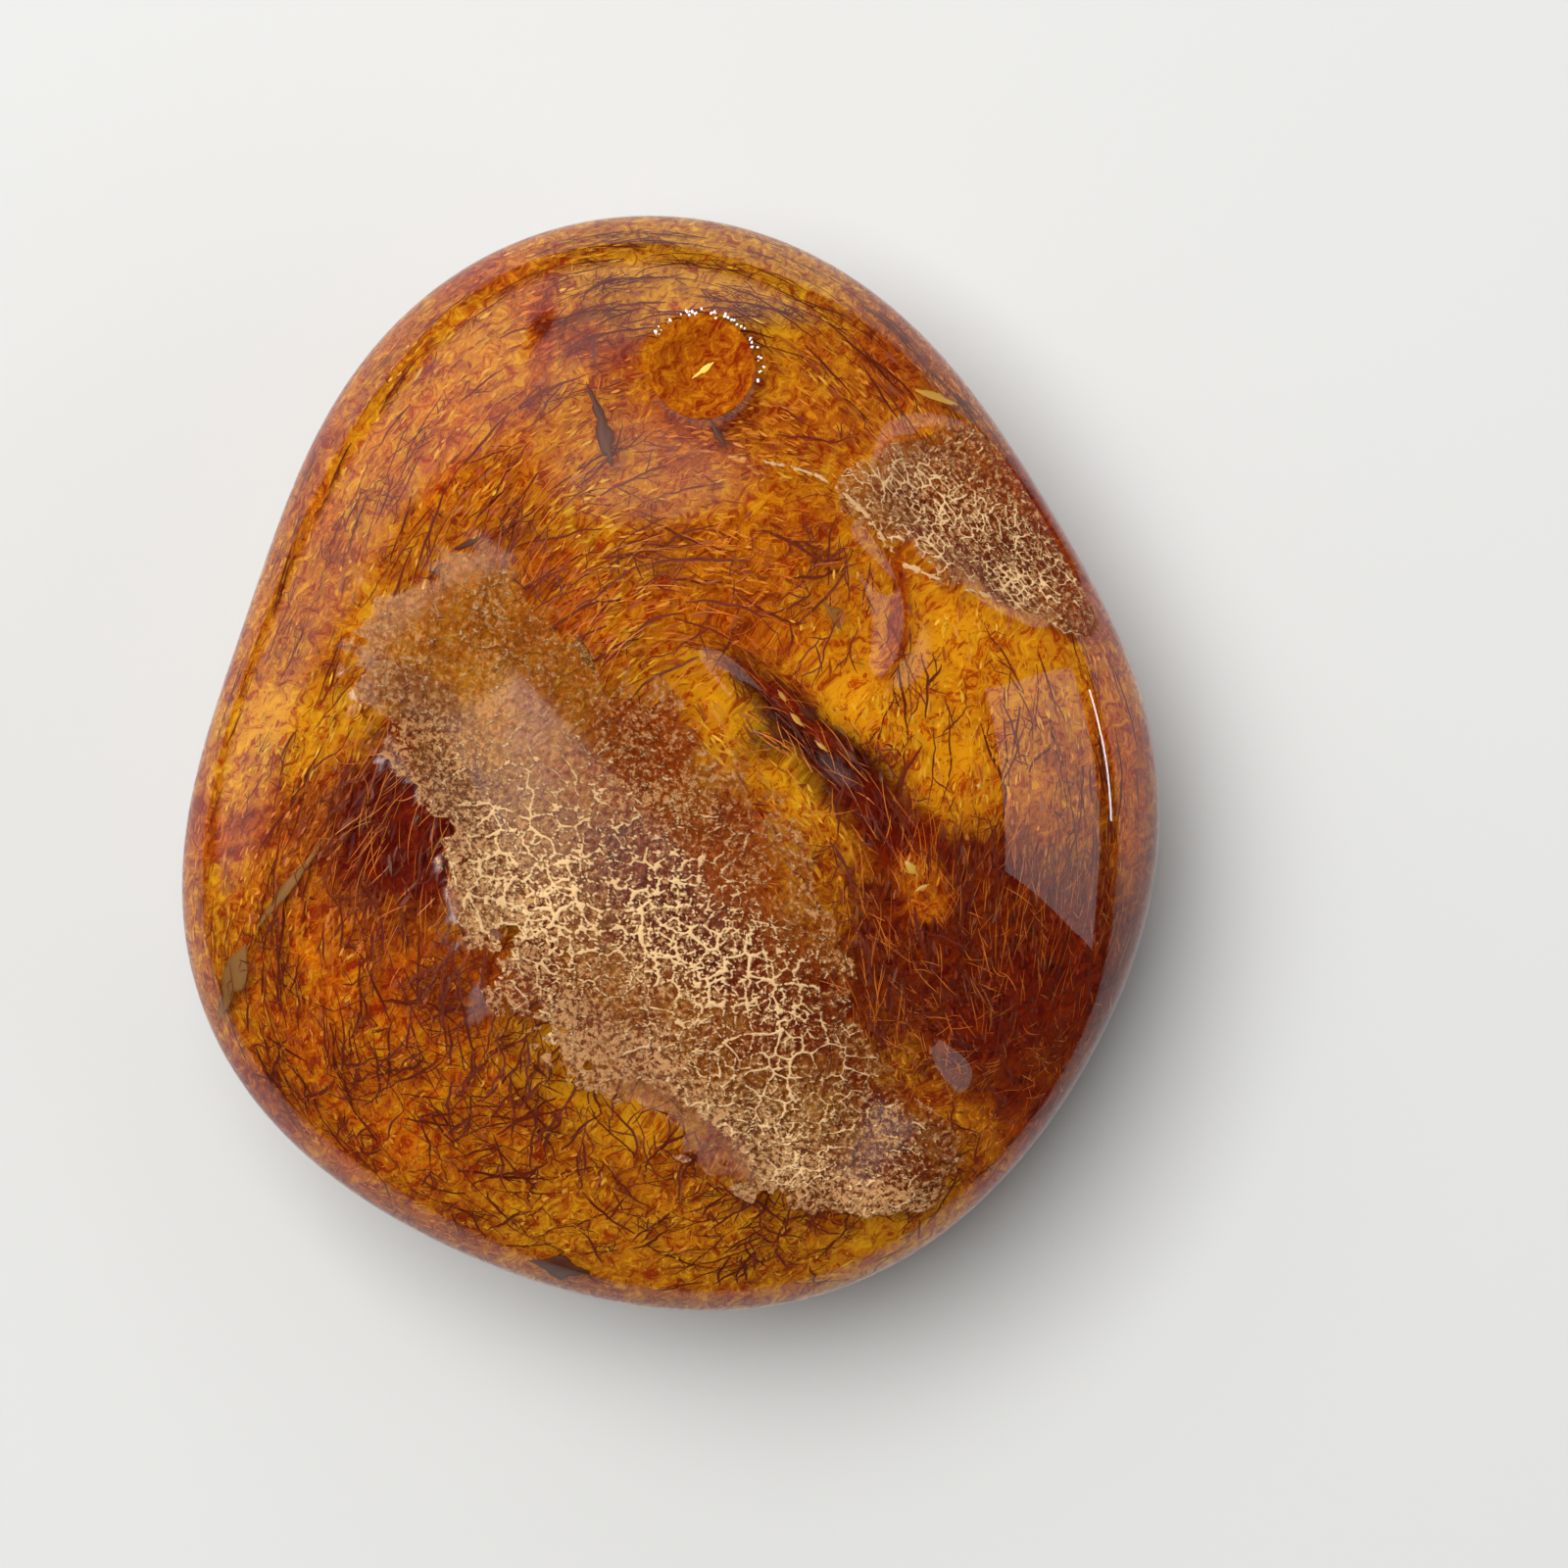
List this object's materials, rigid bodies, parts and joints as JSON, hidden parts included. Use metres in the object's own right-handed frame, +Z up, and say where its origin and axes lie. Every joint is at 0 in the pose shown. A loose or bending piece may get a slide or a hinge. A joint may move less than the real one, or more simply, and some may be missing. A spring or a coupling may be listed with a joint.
{
  "type": "amber stone",
  "caption": "Polished freeform amber stone, a rounded pebble with crust-lined hollows and a dimple on its upper face, resting on a small flat spot on its back.",
  "frame": {"origin": "middle of the stone's box, at the height of the flat spot it rests on", "axes": "+Z up out of the shown face, +Y along the stone's longer side, +X to the right of the shown face"},
  "size_m": [0.0714, 0.0802, 0.0306],
  "materials": {
    "amber": "polished, see-through orange-brown amber with fine fibres inside and a tan crust left in its hollows"
  },
  "bodies": {
    "root": {"amber_stone": "amber"}
  },
  "joints": []
}
